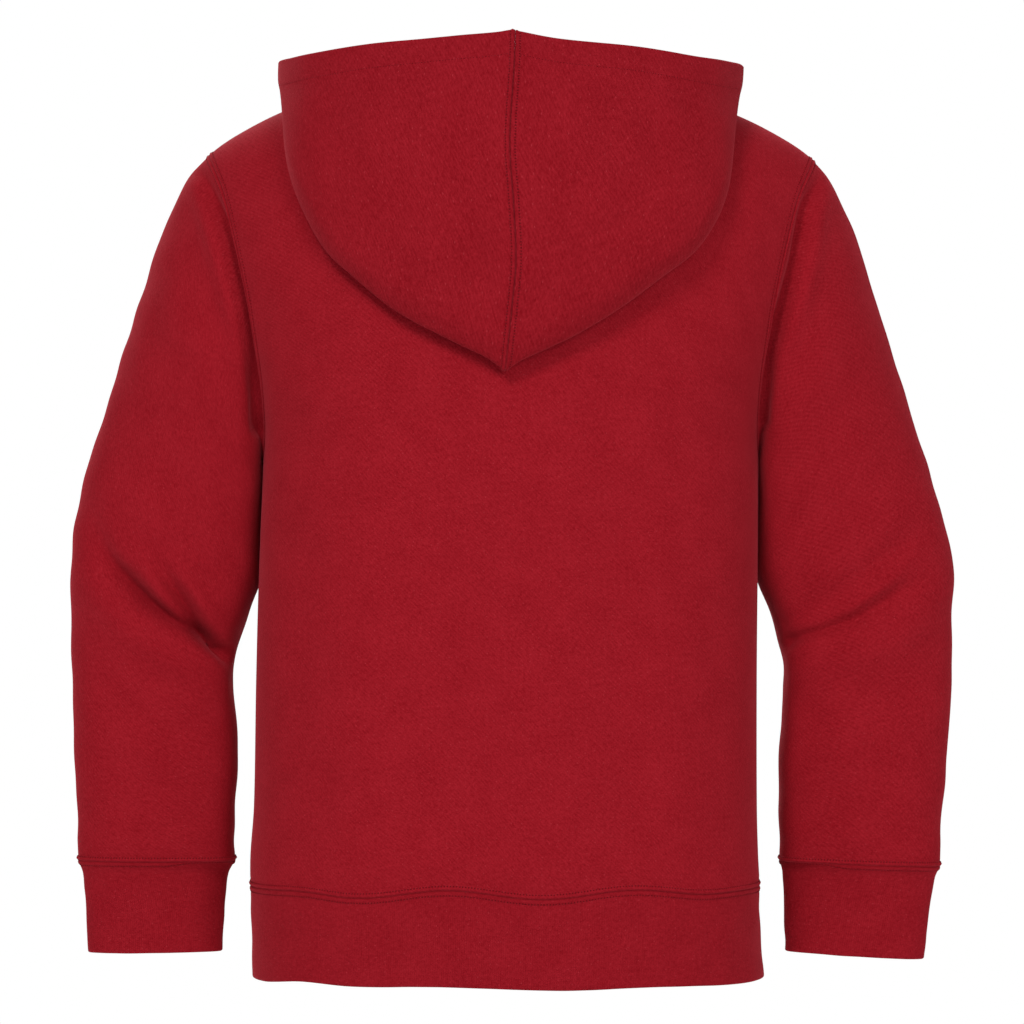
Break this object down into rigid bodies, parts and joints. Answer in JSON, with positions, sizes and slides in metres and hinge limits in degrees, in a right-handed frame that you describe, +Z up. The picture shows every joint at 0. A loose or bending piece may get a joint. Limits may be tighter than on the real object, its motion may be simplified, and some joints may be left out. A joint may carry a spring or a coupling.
{
  "type": "kids hoodie",
  "caption": "Child's pullover hoodie in plain fleece, filled out as worn, with the hood down, long sleeves and ribbed cuffs and waistband.",
  "frame": {"origin": "the middle of the neck opening, level with the two points where the neck meets the shoulders", "axes": "+Z up, the front faces -Y, +X is the wearer's left"},
  "size_m": [0.5827, 0.2545, 0.6081],
  "materials": {
    "fleece": "matt brushed fleece, heathered red",
    "rib": "matt fine rib knit, red"
  },
  "bodies": {
    "root": {"back_panel": "fleece", "front_panel": "fleece", "waistband": "rib", "sleeve_left": "fleece", "sleeve_right": "fleece", "cuff_left": "rib", "cuff_right": "rib", "hood_left": "fleece", "hood_right": "fleece"}
  },
  "joints": []
}
